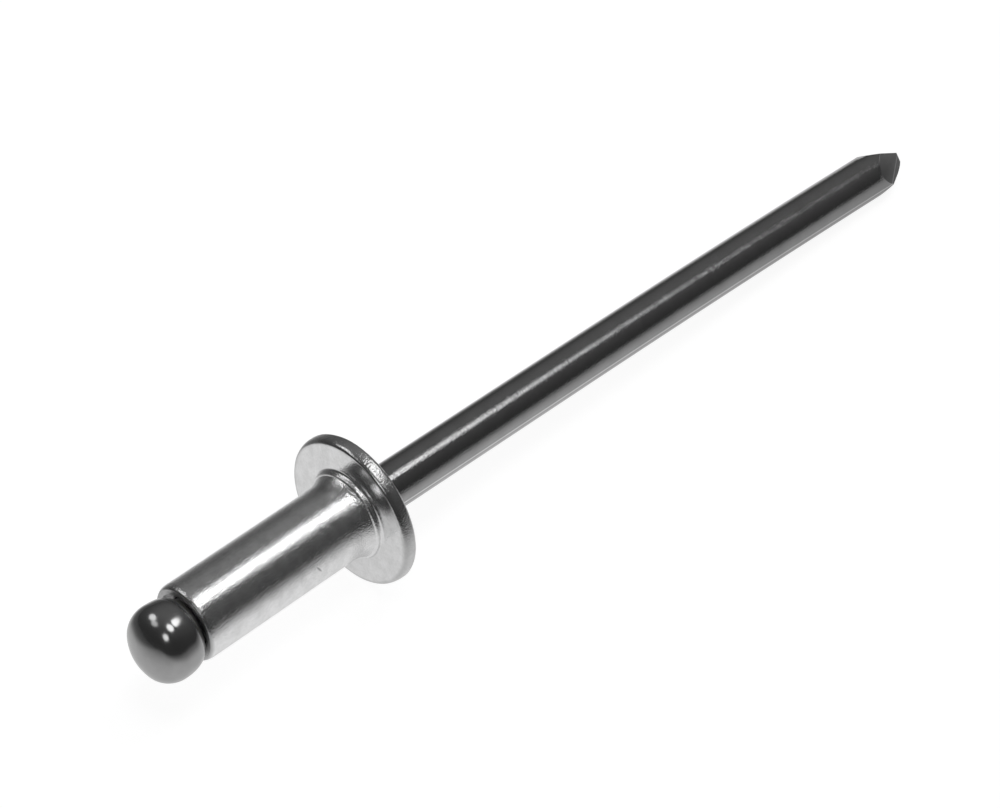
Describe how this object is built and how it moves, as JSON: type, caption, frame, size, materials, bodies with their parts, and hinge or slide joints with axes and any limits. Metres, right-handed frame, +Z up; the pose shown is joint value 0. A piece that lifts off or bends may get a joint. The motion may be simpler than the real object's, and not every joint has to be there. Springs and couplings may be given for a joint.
{
  "type": "blind rivet",
  "caption": "Open-end blind rivet with a domed flange, unset: an aluminium sleeve on a steel mandrel with a round blind-side head and a long pulling tail.",
  "frame": {"origin": "where the rivet's axis crosses the clamping face under the flange", "axes": "+Z up from the surface that the rivet lies on, +X along the ground from the blind end towards the tail; the rivet's own axis lies in the XZ plane and drops about 4.1 degrees towards the tail, because it rests on the flange's rim and on the tail"},
  "size_m": [0.0427, 0.0062, 0.0063],
  "materials": {
    "sleeve_aluminium": "bright drawn and cold-headed aluminium, satin with fine grain",
    "mandrel_steel": "dark polished steel wire with fine drawing lines along it"
  },
  "bodies": {
    "root": {"rivet_body": "sleeve_aluminium", "mandrel": "mandrel_steel"}
  },
  "joints": []
}
